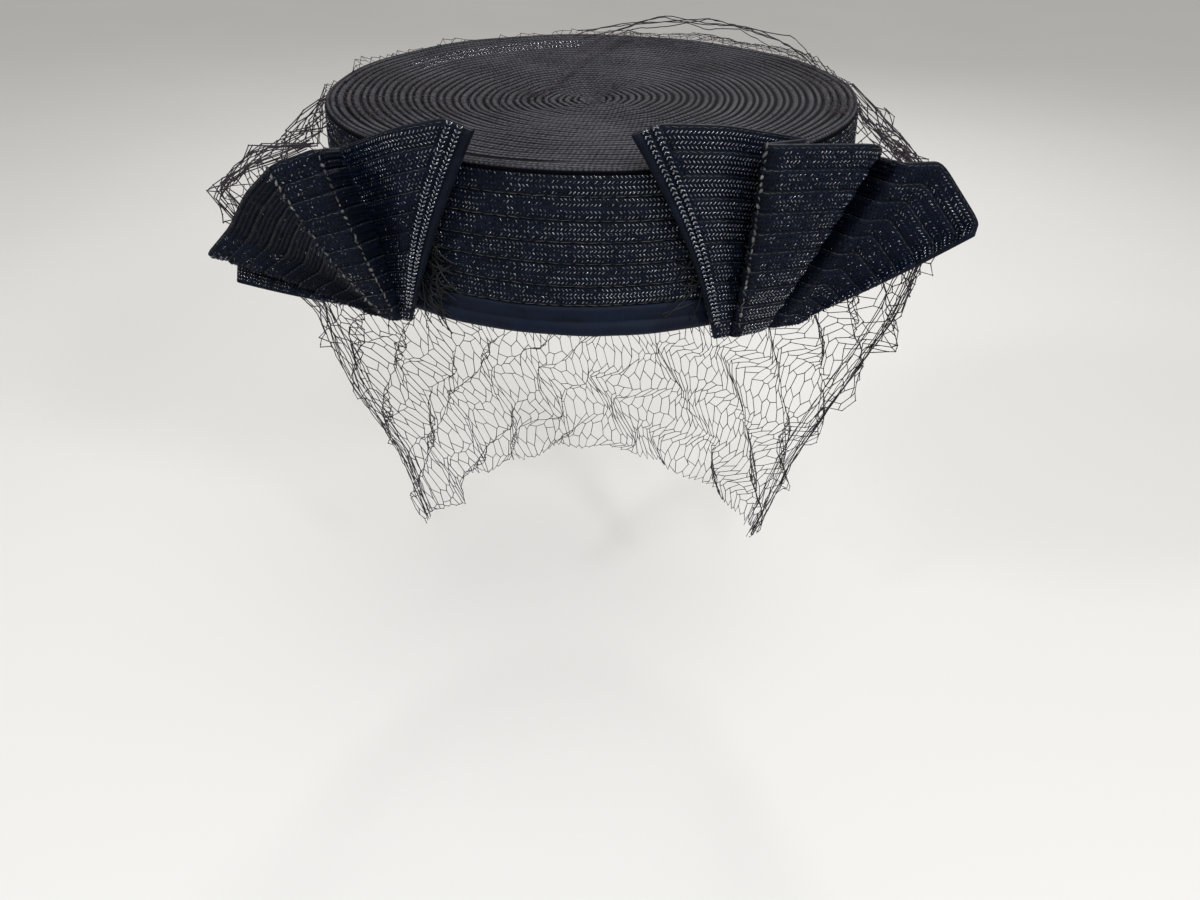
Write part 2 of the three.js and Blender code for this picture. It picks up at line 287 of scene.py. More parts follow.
def tip_finish():
    made, bench, shader, place = new_material("faded straw with painted top light", 0.8, specular=0.03)
    x, y = level_axes(bench, place)
    x = x / CROWN_OVAL
    radius = (x * x + y * y) ** 0.5 / MM
    turn = x.maths("ARCTAN2", y, x)
    ring = radius.maths("FLOOR", radius / TIP_RIDGE)
    slant = turn * (ring * TIP_RIDGE) / TIP_PLAIT + radius / TIP_RIDGE * 0.8
    plait = slant.maths("SINE", slant * (2 * math.pi))
    dust = noise(bench, place, 26, detail=5)
    speck = noise(bench, place, 0.7, detail=2)
    grey = clamped(bench, dust * 0.5 + speck * 0.7 + plait * 0.08, 0.42, 0.78)
    # The tip's colour is faded straw, painted lighter for the light from above: painted light.
    straw = blend(bench, grey, *FADED_WITH_PAINTED_LIGHT)
    # Where the mesh marks a groove, the colour turns near-black: painted shade in the grooves, the gap and
    # under the tip.
    feed(bench, shader, "Base Color", blend(bench, point_value(bench, "groove"), straw, GROOVE_PAINTED_SHADE))
    feed(bench, shader, "Roughness", 0.62 + dust * 0.25)
    bump(bench, shader, plait * 0.5 + speck, 0.6, 0.2)
    return made


tip_straw = tip_finish()

# %% Ribbon: close ribs across its width, with cloudy lighter patches and each rib a little lighter on one side
RIBBON_RIB = 0.7


def ribbon_finish():
    made, bench, shader, place = new_material("navy ribbon", 0.6, specular=0.12)
    x, y = level_axes(bench, place)
    turn = x.maths("ARCTAN2", y, x)
    rib = turn.maths("SINE", turn * round(2 * math.pi * CROWN_RADIUS / RIBBON_RIB))
    cloudy = noise(bench, place, 9, detail=4)
    # Cloudy lighter patches, and each rib a little lighter along one side.
    cloudy_and_rib_tone = clamped(bench, cloudy + rib * 0.04, 0.35, 0.7)
    feed(bench, shader, "Base Color", blend(bench, cloudy_and_rib_tone, (0.0006, 0.0022, 0.008), (0.0022, 0.0058, 0.016)))
    feed(bench, shader, "Roughness", 0.5 + cloudy * 0.25)
    bump(bench, shader, rib * 0.4 + noise(bench, place, 0.4), 0.4, 0.08)
    return made


ribbon = ribbon_finish()


# %% Threads: the brown-navy net, the two sewing threads, the paler one painted light for the glints of the fold stitches, and the frayed straw
def thread_finish(name, dark, light, roughness):
    made, bench, shader, place = new_material(name, roughness, specular=0.3)
    along = noise(bench, place, 4, detail=3)
    feed(bench, shader, "Base Color", blend(bench, clamped(bench, along, 0.35, 0.65), dark, light))
    feed(bench, shader, "Roughness", roughness - 0.1 + along * 0.2)
    bump(bench, shader, noise(bench, place, 0.2), 0.5, 0.05)
    return made


net_thread = thread_finish("net thread", (0.009, 0.007, 0.011), (0.038, 0.027, 0.034), 0.75)
sewing_thread = thread_finish("sewing thread", (0.012, 0.013, 0.013), (0.050, 0.048, 0.040), 0.6)
# The pale thread's light colour stands in for the glints of the stitches on the folds: painted highlight.
thread_with_painted_glints = thread_finish("thread with painted glints", (0.010, 0.010, 0.012), (0.150, 0.148, 0.145), 0.5)
frayed_straw = thread_finish("frayed straw", (0.0005, 0.0005, 0.001), (0.003, 0.003, 0.005), 0.5)
print("thread finishes:", net_thread.name, "and", sewing_thread.name)

# %% [markdown]
# ## Plaits that follow a line
# Each braid row is a few lines of short slanted strands, and neighbouring lines slant the other
# way. Modelling one line at a time would be slow, so a Geometry Nodes tree does it: it spaces
# points along every line it is given, stands one small strand on each, leans it, and realizes them.
# The points of a line carry `out` (away from the cloth) and `lean` (the slant, in radians).

# %% One strand, with a short ridge above six flat corners, and one knot
def loose_shape(name, corners, faces, smooth):
    mesh = bpy.data.meshes.new(name)
    mesh.from_pydata(corners, [], faces)
    mesh.polygons.foreach_set("use_smooth", [smooth] * len(faces))
    return bpy.data.objects.new(name, mesh)


STRAND_CORNERS = [(-0.5, 0, 0), (-0.22, 0.5, 0), (0.22, 0.5, 0), (0.5, 0, 0),
                  (0.22, -0.5, 0), (-0.22, -0.5, 0), (-0.24, 0, 1), (0.24, 0, 1)]
STRAND_FACES = [(1, 6, 0), (2, 7, 6, 1), (3, 7, 2), (4, 7, 3),
                (5, 6, 7, 4), (0, 6, 5), (5, 4, 3, 2, 1, 0)]
KNOT_CORNERS = [(1, 0, 0), (-1, 0, 0), (0, 1, 0), (0, -1, 0), (0, 0, 1), (0, 0, -1)]
KNOT_FACES = [(0, 2, 4), (2, 1, 4), (1, 3, 4), (3, 0, 4), (2, 0, 5), (1, 2, 5), (3, 1, 5), (0, 3, 5)]
strand = loose_shape("strand", STRAND_CORNERS, STRAND_FACES, True)
knot = loose_shape("knot", KNOT_CORNERS, KNOT_FACES, False)


# %% A tree with named inputs
def new_tree(name, **sockets):
    """A Geometry Nodes tree that takes lines and the named inputs, each of a socket type."""
    tree = bpy.data.node_groups.new(name, "GeometryNodeTree")
    for title, kind in {"Lines": "Geometry", **sockets}.items():
        tree.interface.new_socket(name=title, in_out="INPUT", socket_type="NodeSocket" + kind)
    tree.interface.new_socket(name="Made", in_out="OUTPUT", socket_type="NodeSocketGeometry")
    bench = Bench(tree)
    entry = bench.node("NodeGroupInput").socket.node
    given = {s.name: Wire(bench, s) for s in entry.outputs if s.name}
    return tree, bench, given


def carried(bench, title, kind="FLOAT"):
    """A value that the points of the lines carry."""
    settings = {"data_type": kind}
    return bench.node("GeometryNodeInputNamedAttribute", settings, {"Name": title}, "Attribute")


def shape_of(bench, wire):
    return bench.node("GeometryNodeObjectInfo", inputs={"Object": wire}, output="Geometry")


def finish_tree(bench, made, material):
    realized = bench.node("GeometryNodeRealizeInstances", inputs={"Geometry": made})
    dressed = bench.node("GeometryNodeSetMaterial", inputs={"Geometry": realized, "Material": material})
    bench.node("NodeGroupOutput", inputs={"Made": dressed})


# %% Strands along lines
def plait_tree():
    tree, bench, given = new_tree(
        "strands along lines", Pitch="Float", Length="Float", Width="Float", Height="Float",
        Unevenness="Float", Seed="Int", Strand="Object", Material="Material")
    curve = bench.node("GeometryNodeMeshToCurve", inputs={"Mesh": given["Lines"]})
    spaced = bench.node("GeometryNodeResampleCurve", {"mode": "LENGTH"},
                        {"Curve": curve, "Length": given["Pitch"]})
    tangent = bench.node("GeometryNodeInputTangent")
    stood = bench.node("FunctionNodeAlignRotationToVector", {"axis": "Z"},
                       {"Vector": carried(bench, "out", "FLOAT_VECTOR")})
    laid = bench.node("FunctionNodeAlignRotationToVector", {"axis": "X", "pivot_axis": "Z"},
                      {"Rotation": stood, "Vector": tangent})

    def uneven(shift):
        inputs = {"Min": -1.0, "Max": 1.0, "Seed": given["Seed"] + shift}
        chance = bench.node("FunctionNodeRandomValue", {"data_type": "FLOAT"}, inputs, "Value")
        return chance * given["Unevenness"]

    slant = bench.node("FunctionNodeAxisAngleToRotation",
                       inputs={"Axis": (0, 0, 1), "Angle": carried(bench, "lean") + uneven(0)})
    turned = bench.node("FunctionNodeRotateRotation", {"rotation_space": "LOCAL"},
                        {"Rotation": laid, "Rotate By": slant})
    size = bench.node("ShaderNodeCombineXYZ", inputs={
        "X": given["Length"] * (1 + uneven(1)),
        "Y": given["Width"] * (1 + uneven(2)),
        "Z": given["Height"] * (1 + uneven(3) * 2)})
    placed = bench.node("GeometryNodeInstanceOnPoints", inputs={
        "Points": spaced, "Instance": shape_of(bench, given["Strand"]), "Rotation": turned, "Scale": size})
    finish_tree(bench, placed, given["Material"])
    return tree


# %% Threads along lines, with a knot at each point that is marked as one
def thread_tree():
    tree, bench, given = new_tree(
        "threads along lines", Radius="Float", Sides="Int", Knot="Object", Knots="Float",
        Material="Material")
    curve = bench.node("GeometryNodeMeshToCurve", inputs={"Mesh": given["Lines"]})
    ring = bench.node("GeometryNodeCurvePrimitiveCircle", {"mode": "RADIUS"},
                      {"Resolution": given["Sides"], "Radius": given["Radius"]})
    stout = carried(bench, "stout")
    sized = bench.node("GeometryNodeSetCurveRadius", inputs={"Curve": curve, "Radius": stout})
    tube = bench.node("GeometryNodeCurveToMesh",
                      inputs={"Curve": sized, "Profile Curve": ring, "Scale": stout})
    size = bench.node("ShaderNodeCombineXYZ", inputs={axis: given["Knots"] * stout for axis in "XYZ"})
    knots = bench.node("GeometryNodeInstanceOnPoints", inputs={
        "Points": given["Lines"], "Selection": carried(bench, "knotted", "BOOLEAN"),
        "Instance": shape_of(bench, given["Knot"]), "Scale": size})
    both = bench.node("GeometryNodeJoinGeometry")
    for made in (tube, knots):
        bench.tree.links.new(made.socket, both.socket.node.inputs[0])
    finish_tree(bench, both, given["Material"])
    return tree


plaits_along, threads_along = plait_tree(), thread_tree()
print("trees:", plaits_along.name, "and", threads_along.name)

# %% [markdown]
# ## From lines to finished pieces
# A line is a dictionary: its points, whether it closes, and values for its points where they differ
# from the usual ones below. All lines of a piece become one mesh of edges, and a tree turns that
# mesh into strands or thread. The tree is then removed, so every piece ends as a plain mesh.

# %% From lines to a finished plain mesh
POINT_VALUES = {
    "out": ("FLOAT_VECTOR", (0.0, 0.0, 1.0)),
    "lean": ("FLOAT", 0.0),
    "knotted": ("BOOLEAN", False),
    "stout": ("FLOAT", 1.0),
    "gloss_and_painted_shade": ("FLOAT", 0.5),
}


def spread_over(title, value, count):
    return np.broadcast_to(value, (count, 3) if title == "out" else (count,))


def lines_object(name, lines):
    """Lines as a mesh of edges. Each line has points, may be closed, and may give point values."""
    points, edges, first = [], [], 0
    values = {title: [] for title in POINT_VALUES}
    for line in lines:
        count = len(line["points"])
        points.append(line["points"])
        edges += [(first + i, first + i + 1) for i in range(count - 1)]
        if line.get("closed"):
            edges.append((first + count - 1, first))
        for title, (_, usual) in POINT_VALUES.items():
            values[title].append(spread_over(title, line.get(title, usual), count))
        first += count
    joined = {title: np.concatenate(parts) for title, parts in values.items()}
    return edges_object(name, np.vstack(points), edges, **joined)


def edges_object(name, points, edges, **values):
    mesh = new_mesh(name, points, edges)
    for title, (kind, usual) in POINT_VALUES.items():
        given = spread_over(title, values.get(title, usual), len(points))
        attribute = mesh.attributes.new(title, kind, "POINT")
        attribute.data.foreach_set("vector" if title == "out" else "value", given.ravel())
    return new_object(name, mesh)


def print_triangles(made):
    print(f"{made.name}: {sum(len(p.vertices) - 2 for p in made.data.polygons)} triangles")
    return made


def run_tree(made, tree, **sizes):
    """Runs the tree once on an object and leaves it a plain mesh."""
    modifier = made.modifiers.new("making", "NODES")
    modifier.node_group = tree
    for item in tree.interface.items_tree:
        if item.in_out == "INPUT" and item.name in sizes:
            modifier[item.identifier] = sizes[item.name]
    seen = made.evaluated_get(bpy.context.evaluated_depsgraph_get())
    mesh = bpy.data.meshes.new_from_object(seen)
    made.modifiers.remove(modifier)
    made.data = mesh
    return print_triangles(made)


def strands_on(name, lines, pitch, length, width, height, material, seed, unevenness=0.12):
    return run_tree(lines_object(name, lines), plaits_along, Pitch=pitch * MM, Length=length * MM,
                    Width=width * MM, Height=height * MM, Unevenness=unevenness, Seed=seed,
                    Strand=strand, Material=material)


def threads_on(made, radius, material, knots=0.0, sides=4):
    return run_tree(made, threads_along, Radius=radius * MM, Sides=sides, Knot=knot,
                    Knots=knots * MM, Material=material)


# %% [markdown]
# ## Surfaces from grids
# The cloth, the wall and the tip are grids of points, row by row, joined by four-sided faces. A
# grid may wrap round the crown, and a pair of grids with a rim between them makes a closed wall.

# %% Surfaces from grids of points
def surface(name, points, faces, material, groove=None):
    mesh = new_mesh(name, points, faces=faces)
    mesh.materials.append(material)
    if groove is not None:
        mesh.attributes.new("groove", "FLOAT", "POINT").data.foreach_set("value", groove)
    return print_triangles(new_object(name, mesh))


def grid_faces(rows, columns, start=0, wrap=False, flip=False):
    faces = []
    for i in range(rows - 1):
        for j in range(columns if wrap else columns - 1):
            a, b = start + i * columns + j, start + i * columns + (j + 1) % columns
            face = (a, b, b + columns, a + columns)
            faces.append(tuple(reversed(face)) if flip else face)
    return faces


def normals_of(grid):
    """Unit normals of a grid[row, column] of points, along columns crossed with along rows."""
    across = np.gradient(grid, axis=1)
    along = np.gradient(grid, axis=0)
    normal = np.cross(across, along)
    return normal / np.maximum(np.linalg.norm(normal, axis=2, keepdims=True), 1e-9)


def thick_sheet(name, side, outer, inner, material):
    """A closed wall between two grids, with its rim. On the left the grids run the other way."""
    outer, inner = outer[::side], inner[::side]
    rows, columns = outer.shape[:2]
    back = rows * columns
    faces = grid_faces(rows, columns) + grid_faces(rows, columns, back, flip=True)
    rim = list(range(columns)) + [i * columns + columns - 1 for i in range(1, rows)]
    rim += [back - 1 - j for j in range(1, columns)] + [i * columns for i in range(rows - 2, 0, -1)]
    for a, b in zip(rim, rim[1:] + rim[:1]):
        faces.append((b, a, back + a, back + b))
    return surface(name, np.vstack([outer.reshape(-1, 3), inner.reshape(-1, 3)]), faces, material)


def ring_wall(name, rings, material):
    """A closed wall through rings, of which the last joins the first again."""
    count = len(rings) * len(rings[0])
    faces = grid_faces(len(rings) + 1, len(rings[0]), wrap=True, flip=True)
    return surface(name, np.vstack(rings), [tuple(v % count for v in face) for face in faces], material)


# %% Fastening a piece, and places round the crown
ROUND = np.arange(0, 360, 1.5)


def keep(piece, slot, *nodes, body="root"):
    """Fastens a finished piece to the frame."""
    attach(piece, body)
    if nodes:
        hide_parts(*nodes)
    return piece


def around(turn, reach, rise):
    """A point at an angle round the crown from the front, in degrees, with +X at +90."""
    angle = np.radians(turn)
    return np.stack(np.broadcast_arrays(reach * np.sin(angle), -reach * np.cos(angle), rise), -1)


def oval(turn, reach, rise):
    """The same, on the crown's oval."""
    return around(turn, reach, rise) * (CROWN_OVAL, 1.0, 1.0)


def nearness(turn, middle, spread, power=2):
    """1 at the middle turn, falling to 0 beyond the spread."""
    off = (turn + 180 - middle) % 360 - 180
    return np.exp(-np.abs(off / spread) ** power)


# %% [markdown]
# ## The side band
# On the real hat one long braid is sewn round and round, each row tucked under the one above, so
# the wall steps in a little at every row. The wall itself is a turned profile with those steps, and
# the strands are laid on it in four lines a row. The first row bends over the shoulder.

# %% The band's profile
ROW = 6.2
BAND_TOP = CROWN_HEIGHT - 1.6
BAND_FOOT = 3.0
SHOULDER = 2.4
STRAW_WALL = 2.0
ROW_STEP = 0.6
ROW_PROFILE = ((0.0, 0.0), (0.06, 0.62), (0.3, 0.95), (0.6, 1.0), (0.9, 0.8), (0.985, 0.25))
ROW_WAVER = {"slow": 0.28, "quick": 0.12}
STRAND_SEAT, SEAM_SEAT = 0.95 * ROW_STEP, 0.7 * ROW_STEP
BAND_ROWS = math.ceil((BAND_TOP - 4) / ROW)
INNER_HEIGHTS = (BAND_FOOT, 15.0, 30.0, CROWN_HEIGHT - SHOULDER - 0.6)


def band_reach(height):
    """The wall's outer radius before the rows are added: upright, with a round shoulder."""
    bulge = BAND_BULGE * np.sin(np.pi * np.clip(height / (CROWN_HEIGHT - SHOULDER), 0, 1))
    over = np.clip(height - (CROWN_HEIGHT - SHOULDER), 0, SHOULDER)
    return CROWN_RADIUS - ROW_STEP - SHOULDER + bulge + np.sqrt(SHOULDER ** 2 - over ** 2)


def row_waver(row, turn):
    """How far a hand-sewn row wanders up and down."""
    angle = np.radians(turn)
    slow = ROW_WAVER["slow"] * np.sin(angle * (2 + row % 3) + row * 2.1)
    return slow + ROW_WAVER["quick"] * np.sin(angle * 9 + row)


def band_point(row, share, turn, lift):
    height = BAND_TOP - ROW * (row + share) + row_waver(row + round(share), turn) * min(row, 1)
    height = np.maximum(height, BAND_FOOT)
    return oval(turn, band_reach(height) + lift, height)


def side_band():
    rings = [band_point(row, share, ROUND, ROW_STEP * rise)
             for row in range(BAND_ROWS) for share, rise in ROW_PROFILE]
    inner = [oval(ROUND, CROWN_RADIUS - STRAW_WALL + 0.4 * np.sin(np.pi * height / 45), height)
             for height in INNER_HEIGHTS]
    return ring_wall("band_ground", rings + inner, straw_ground)


keep(side_band(), "glossy_straw", "side_band")

# %% The band's strands
LINES_IN_ROW = (0.1, 0.32, 0.54, 0.76)
STRAND = {"pitch": 1.12, "length": 1.42, "width": 0.6, "height": 0.32}
BAND_GLOSS = {"turn": 17, "spread": 15, "most": 0.54, "least": 0.45, "top_row": 0.08}
LEAN = math.radians(44)


def band_lines():
    near = nearness(ROUND, BAND_GLOSS["turn"], BAND_GLOSS["spread"])
    lines = []
    for row in range(BAND_ROWS):
        for line, share in enumerate(LINES_IN_ROW):
            points = band_point(row, share, ROUND, STRAND_SEAT)
            if points[:, 2].min() < BINDING_HEIGHT - 0.4:
                continue
            gloss_and_painted_shade = BAND_GLOSS["least"] + (BAND_GLOSS["most"] - BAND_GLOSS["least"]) * near
            gloss_and_painted_shade = gloss_and_painted_shade + BAND_GLOSS["top_row"] * near * (row == 0)
            lines.append({"points": points, "out": around(ROUND, 1.0, 0.0), "closed": True,
                          "gloss_and_painted_shade": gloss_and_painted_shade, "lean": LEAN if line % 2 else math.pi - LEAN})
    return lines


keep(strands_on("band_plaits", band_lines(), **STRAND, material=braid_straw, seed=3), "glossy_straw")

# %% The thread that shows between its rows
SEAM_SHARE = 0.93
BAND_SEAM = {"pitch": 3.6, "length": 3.9, "width": 0.26, "height": 0.2, "unevenness": 0.1}


def band_seams():
    return [{"points": band_point(row, SEAM_SHARE, ROUND, SEAM_SEAT), "closed": True,
             "out": around(ROUND, 1.0, 0.0)} for row in range(BAND_ROWS - 1)]


keep(strands_on("band_seams", band_seams(), **BAND_SEAM, material=sewing_thread, seed=5), "glossy_straw")

# %% [markdown]
# ## The tip
# The same braid starts in the middle of the tip and is sewn outward, flat and slightly sunken. Its
# rows are ridges with a groove down the middle and a deeper one where two rows meet. A polar grid
# with a few rings to each row gives those grooves real depth, and the bump adds the plaits. At the
# front left one row has come a little away from the next and leaves a gap. The grooves, that gap
# and the underside of the tip are also painted near-black: painted shade.

# %% The tip's profile
TIP_ROW = 2 * TIP_RIDGE
TIP_SINK = 3.5
TIP_DENT = {"x": -24, "y": 6, "depth": 1.6, "radius": 30}
TIP_WANDER = 0.3
TIP_UNEVEN = 0.25
TIP_SEAT = -0.1
TIP_EDGE = CROWN_RADIUS - 0.6
# Each entry: a share across the row, a lift, and how far the colour there is painted near-black as shade
# in a groove.
TIP_PROFILE = (
    (0.0, -0.4, 1.0), (0.16, -0.35, 1.0), (0.22, -0.1, 0.4), (0.28, 0.02, 0.0), (0.4, -0.02, 0.0),
    (0.46, -0.25, 1.0), (0.61, -0.25, 1.0), (0.67, -0.05, 0.1), (0.8, 0.06, 0.0), (0.93, -0.15, 0.3))
TIP_UNDER = ((1.5, 41.0), (30, 41.6), (60, 43.2), (CROWN_RADIUS - 2.8, 45.0),
             (CROWN_RADIUS - 0.7, 45.6), (CROWN_RADIUS - 0.1, 46.4), (CROWN_RADIUS - 0.1, 47.2))
# A stretch of one row is sunk away from the next, and the gap is painted near-black as shade.
LOOSE_ROW = {"turn": -13, "spread": 13, "depth": 0.3, "share": 1.17, "half": 0.3}


def tip_height(x, y):
    share = np.clip(np.hypot(x / CROWN_OVAL, y) / (CROWN_RADIUS - SHOULDER), 0, 1)
    far = np.hypot(x - TIP_DENT["x"], y - TIP_DENT["y"]) / TIP_DENT["radius"]
    dent = TIP_DENT["depth"] * np.exp(-far ** 2) * (1 - share ** 4)
    return CROWN_HEIGHT - TIP_SINK * (1 - share ** 2) - dent


def tip_point(radius, turn, lift):
    angle = np.radians(turn)
    wander = TIP_WANDER * np.sin(3 * angle + radius * 0.1) * np.clip(radius / 20, 0, 1)
    point = oval(turn, radius + wander, 0.0)
    uneven = TIP_UNEVEN * np.sin(radius * 0.12 + 4 * angle) * np.sin(7 * angle)
    point[..., 2] = tip_height(point[..., 0], point[..., 1]) + lift + uneven + TIP_SEAT
    return point


# %% The tip
def crown_tip():
    near = nearness(ROUND, LOOSE_ROW["turn"], LOOSE_ROW["spread"], power=4)
    rings = [oval(ROUND, radius, rise) for radius, rise in TIP_UNDER]
    # The underside of the tip is painted near-black all over: painted shade.
    grooves = [np.ones(len(ROUND))] * len(rings)
    for row in range(int(TIP_EDGE / TIP_ROW)):
        for share, lift, groove in TIP_PROFILE:
            if row + share == 0:
                lift, groove = 0.0, 0.0
            loose = near * (abs(row + share - LOOSE_ROW["share"]) < LOOSE_ROW["half"])
            grooves.append(np.maximum(groove, loose))
            radius = TIP_EDGE - (row + share) * TIP_ROW
            rings.append(tip_point(radius, ROUND, lift - LOOSE_ROW["depth"] * loose))
    count = len(rings) * len(ROUND)
    faces = grid_faces(len(rings), len(ROUND), wrap=True)
    faces.append(tuple(range(count - len(ROUND), count)))
    faces.append(tuple(reversed(range(len(ROUND)))))
    return surface("tip_braid", np.vstack(rings), faces, tip_straw, groove=np.concatenate(grooves))


keep(crown_tip(), "matte_straw", "crown_tip")

# %% A stretch of the tip that has kept its lacquer
LACQUERED = {"from": -172, "to": -112, "reaches": (70.5, 72.3, 75.6, 77.4), "gloss_and_painted_shade": 0.62}
FLAT_STRAND = {"pitch": 1.5, "length": 1.6, "width": 0.95, "height": 0.24, "unevenness": 0.3}


def lacquered_lines():
    turns = np.linspace(LACQUERED["from"], LACQUERED["to"], 60)
    return [{"points": tip_point(reach, turns, 0.0), "gloss_and_painted_shade": LACQUERED["gloss_and_painted_shade"],
             "lean": LEAN if line % 2 else -LEAN} for line, reach in enumerate(LACQUERED["reaches"])]


lacquered = strands_on("tip_lacquered_plaits", lacquered_lines(), **FLAT_STRAND,
                       material=braid_straw, seed=7)
keep(lacquered, "matte_straw")

# %% [markdown]
# ## The rim binding
# A soft ribbon is folded over the cut edge of the straw and sewn. It has a flatter upper half, a
# crease, and a fuller roll below, and it pulls slightly uneven between its stitches. A turned
# profile with small waves along it shows all of that.

# %% The binding
BINDING_PROFILE = (
    (1.0, 0.35), (0.99, 0.95), (0.86, 1.25), (0.7, 1.3), (0.58, 1.1), (0.52, 0.75), (0.46, 1.05),
    (0.36, 1.6), (0.24, 1.85), (0.12, 1.7), (0.03, 1.1), (-0.02, 0.2), (-0.01, -0.8), (0.0, -2.0),
    (0.05, -2.8), (0.3, -3.0), (1.0, -3.0), (1.0, -2.6), (0.2, -2.4))


def rim_binding():
    angle = np.radians(ROUND)
    rings = []
    for share, stand in BINDING_PROFILE:
        outer = 1.0 if stand > 0 else 0.0
        pull = outer * (0.14 * np.sin(11 * angle + 3 * share) + 0.1 * np.sin(29 * angle + 7 * share))
        rise = share * (BINDING_HEIGHT - 0.3) + 0.25 * outer * share * np.sin(5 * angle)
        rings.append(oval(ROUND, CROWN_RADIUS - 0.3 + stand + pull, rise))
    return ring_wall("rim_ribbon", rings, ribbon)


keep(rim_binding(), "ribbon", "rim_binding")

# %% [markdown]
# ## The fans
# Each fan is a strip of sewn straw cloth, gathered to a point at the rim and left to open upward.
# The folds below are the same ones that the solids follow: where each fold ends, where its foot
# sits in the gather, and how it bows. The cloth runs across them in flat panels and round folds,
# and its braid rows run across the panels, each one standing a little proud of the next.

# %% Folds, from the front hem to the far end: turn, reach and rise of the end, foot, bow, sway
LEFT_FOLDS = np.array([
    (13.4, 95.8, 57.9, 31.0, 0.5, 1.2),    # front edge
    (17.6, 97.5, 60.5, 31.6, 0.5, 3.2),    # hem
    (25.0, 101.5, 57.5, 32.2, -0.5, 0.0),  # front panel
    (38.5, 101.0, 48.0, 32.8, -1.5, 0.0),  # first valley
    (31.5, 117.5, 54.0, 33.4, 1.0, 0.0),   # ridge
    (37.0, 123.5, 49.0, 34.4, 2.5, 1.0),   # ridge back
    (44.5, 124.5, 38.0, 35.6, -1.5, 0.0),  # side panel
    (52.5, 126.0, 23.5, 36.8, -4.0, 0.0),  # side valley
    (57.5, 132.5, 12.5, 38.0, -2.0, 0.0),  # tip
    (63.0, 122.0, 9.5, 39.2, 0.0, 0.0),    # under valley
    (59.5, 125.0, 0.0, 40.4, 1.5, 0.0),    # far end
])
RIGHT_FOLDS = np.array([
    (10.2, 94.6, 57.7, 26.8, 1.0, 2.8),    # front edge
    (14.4, 95.6, 60.5, 28.0, 1.0, 2.8),    # hem
    (24.0, 98.5, 59.9, 28.8, -0.5, 0.0),   # front panel
    (41.0, 97.5, 52.5, 29.8, -1.0, 0.0),   # first valley
    (25.6, 110.5, 58.1, 30.6, 1.0, 0.0),   # broad pleat
    (43.0, 116.5, 55.0, 36.0, 1.0, 0.0),   # broad pleat back
    (50.5, 107.5, 47.0, 37.6, -2.0, 0.0),  # second valley
    (46.0, 120.5, 50.0, 39.0, 0.5, 0.0),   # ridge
    (50.5, 126.0, 49.5, 40.6, 0.0, 0.0),   # ridge back
    (54.2, 136.0, 34.0, 42.0, -1.0, 0.0),  # tip
    (51.8, 137.5, 32.0, 42.8, 1.0, 0.0),   # far end
])
FAN_FOOT = {"reach": 93.4, "rise": -2.5, "spread": 0.1}
FOLD_SHARE = 0.2
PANEL_STEPS = 7
BEND_STEPS = 4


def fold_points(side, folds, share):
    """Where each fold lies at a share of the way from the gather to the outer edge."""
    turn, reach, rise, foot, bow, sway = folds.T
    foot_reach = FAN_FOOT["reach"] + FAN_FOOT["spread"] * (reach - reach[0])
    start = around(side * foot, foot_reach, FAN_FOOT["rise"])
    end = around(side * turn, reach, rise)
    bulge = math.sin(math.pi * share)
    outward = around(side * turn, 1.0, 0.0) * (bow * bulge)[:, None]
    sideways = around(side * (turn + 90), 1.0, 0.0) * (sway * bulge)[:, None]
    return start + (end - start) * share + outward + sideways


def cloth_across(side, folds, share):
    """The cloth across all the folds: flat panels joined by rounded folds."""
    corners = fold_points(side, folds, share)
    points = []
    start = corners[0]
    for before, corner, after in zip(corners, corners[1:], corners[2:]):
        bend_from = corner + (before - corner) * FOLD_SHARE
        bend_to = corner + (after - corner) * FOLD_SHARE
        points += [start + (bend_from - start) * i / PANEL_STEPS for i in range(PANEL_STEPS)]
        for i in range(BEND_STEPS):
            t = i / BEND_STEPS
            points.append((1 - t) ** 2 * bend_from + 2 * t * (1 - t) * corner + t * t * bend_to)
        start = bend_to
    points += [start + (corners[-1] - start) * i / PANEL_STEPS for i in range(PANEL_STEPS + 1)]
    return np.array(points)


# %% The fan cloth
FAN_ROWS = 10
FAN_WALL = 0.9
FAN_PROFILE = ((0.0, 0.0), (0.07, 0.15), (0.3, 0.4), (0.6, 0.62), (0.86, 0.66), (0.93, 0.4))
FAN_EDGE_LIFT = 0.3


def fan_grid(side, folds):
    """The cloth's middle and outward direction, row by row, and how far each row stands out."""
    shares = [(row + share) / FAN_ROWS for row in range(FAN_ROWS) for share, _ in FAN_PROFILE] + [1.0]
    lifts = [lift for _, lift in FAN_PROFILE] * FAN_ROWS + [FAN_EDGE_LIFT]
    grid = np.array([cloth_across(side, folds, share) for share in shares])
    return grid, normals_of(grid) * side, np.array(shares), np.array(lifts)


def fan_cloth(name, side, folds):
    grid, normal, _, lifts = fan_grid(side, folds)
    outer = grid + normal * (FAN_WALL / 2 + lifts)[:, None, None]
    inner = grid - normal * (FAN_WALL / 2)
    return thick_sheet(name, side, outer, inner, straw_ground)


# %% [markdown]
# ## How much lacquer the fans have kept, and their painted shade
# A fan shines where it faces the light and was not touched, and is dull inside its pleats. Where the
# values are low, in the pleats, the valleys and on the inner face, the strands' colour is also
# darkened: painted shade. One row of each table below is a panel between two folds, with the gloss
# at its foot, middle and edge.

